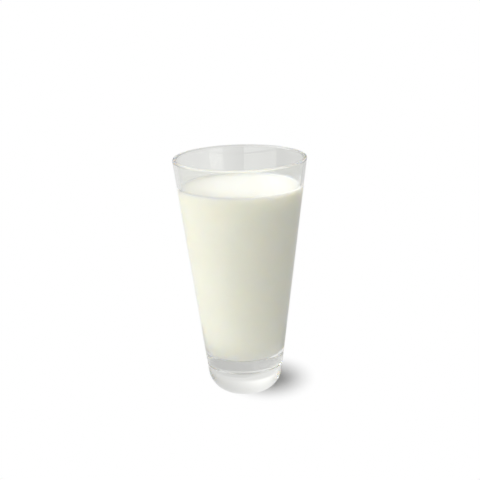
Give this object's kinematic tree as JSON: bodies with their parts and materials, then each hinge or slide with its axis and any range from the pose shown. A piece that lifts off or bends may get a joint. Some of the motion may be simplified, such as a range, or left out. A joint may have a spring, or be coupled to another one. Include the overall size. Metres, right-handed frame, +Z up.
{
  "type": "glass of milk",
  "caption": "Tall conical clear glass tumbler with a thick rounded base, filled with milk to a little under the rim.",
  "frame": {"origin": "centre of the flat ring that the glass stands on", "axes": "+Z up along the glass's axis of revolution, from the foot to the rim; +X and +Y are any two level directions, because the glass is round"},
  "size_m": [0.0826, 0.0826, 0.15],
  "materials": {
    "clear_glass": "clear, polished, faintly grey-green at the edges",
    "milk": "opaque warm white liquid with a soft wet sheen"
  },
  "bodies": {
    "root": {"tumbler": "clear_glass", "milk": "milk"}
  },
  "joints": []
}
